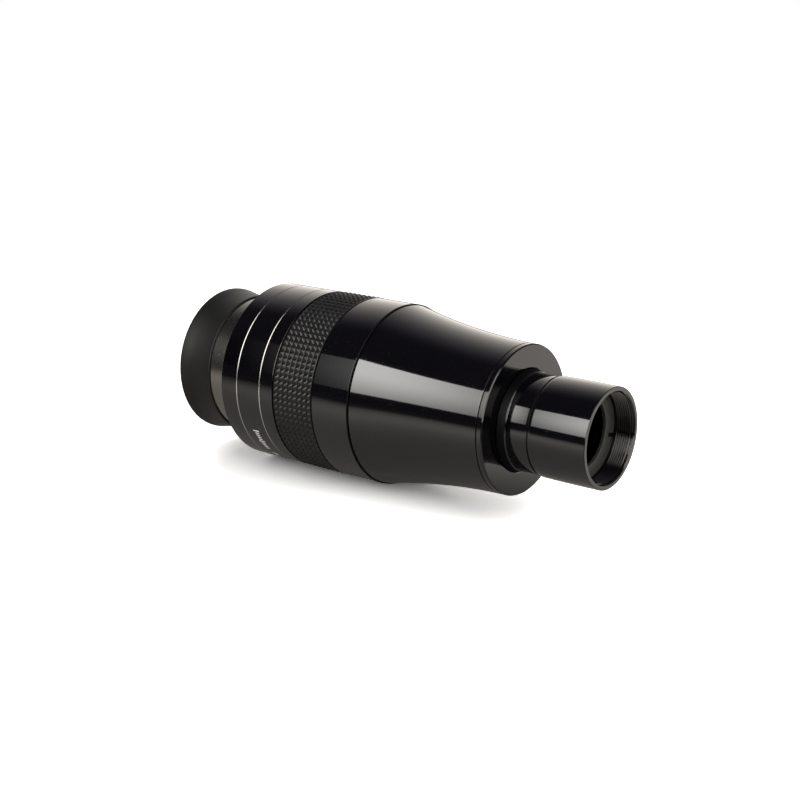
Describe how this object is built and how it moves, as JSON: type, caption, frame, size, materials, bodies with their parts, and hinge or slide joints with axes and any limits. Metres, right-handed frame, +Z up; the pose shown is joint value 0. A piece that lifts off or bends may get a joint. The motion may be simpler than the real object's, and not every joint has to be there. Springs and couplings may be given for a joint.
{
  "type": "telescope eyepiece",
  "caption": "Long ultra-wide telescope eyepiece: plug-in barrel, tapered body, textured grip band and a push-pull eyecup over the eye lens.",
  "frame": {"origin": "centre of the bounding box, on the optical axis, with the eyecup raised", "axes": "+X along the optical axis towards the barrel tip (field side), +Z up when the eyepiece lies on its side"},
  "size_m": [0.157, 0.0604, 0.0604],
  "materials": {
    "gloss_black_anodised": "polished black anodised",
    "matte_black_anodised": "matte black anodised",
    "satin_grey_anodised": "satin turned, dark anodised",
    "blackened_brass": "blackened",
    "black_rubber": "matte moulded",
    "grip_rubber": "semi-gloss moulded pyramids",
    "coated_glass": "polished, antireflection coated"
  },
  "bodies": {
    "housing": {"nosepiece_barrel": "gloss_black_anodised", "field_retaining_ring": "matte_black_anodised", "field_lens_flint": "coated_glass", "field_lens_crown": "coated_glass", "field_lens_spacer": "matte_black_anodised", "field_lens_negative": "coated_glass", "end_plate": "gloss_black_anodised", "taper_housing": "gloss_black_anodised", "main_housing": "gloss_black_anodised", "grip_ring": "grip_rubber", "rear_housing": "gloss_black_anodised", "field_stop_ring": "blackened_brass", "lens_cell": "matte_black_anodised", "cell_retaining_ring": "matte_black_anodised", "main_lens_flint": "coated_glass", "main_lens_crown": "coated_glass", "main_lens_spacer": "matte_black_anodised", "main_lens_singlet": "coated_glass", "rear_lens_crown": "coated_glass", "rear_lens_flint": "coated_glass", "rear_lens_spacer": "matte_black_anodised", "eye_lens": "coated_glass", "eye_lens_retaining_ring": "matte_black_anodised"},
    "eyecup": {"eyecup_sleeve": "satin_grey_anodised", "eyecup_o_ring": "black_rubber", "rubber_eyecup": "black_rubber"}
  },
  "joints": [
    {"name": "eyecup_slide", "type": "slide", "parent": "housing", "child": "eyecup", "axis": [1, 0, 0], "range_m": [0, 0.0106]}
  ]
}
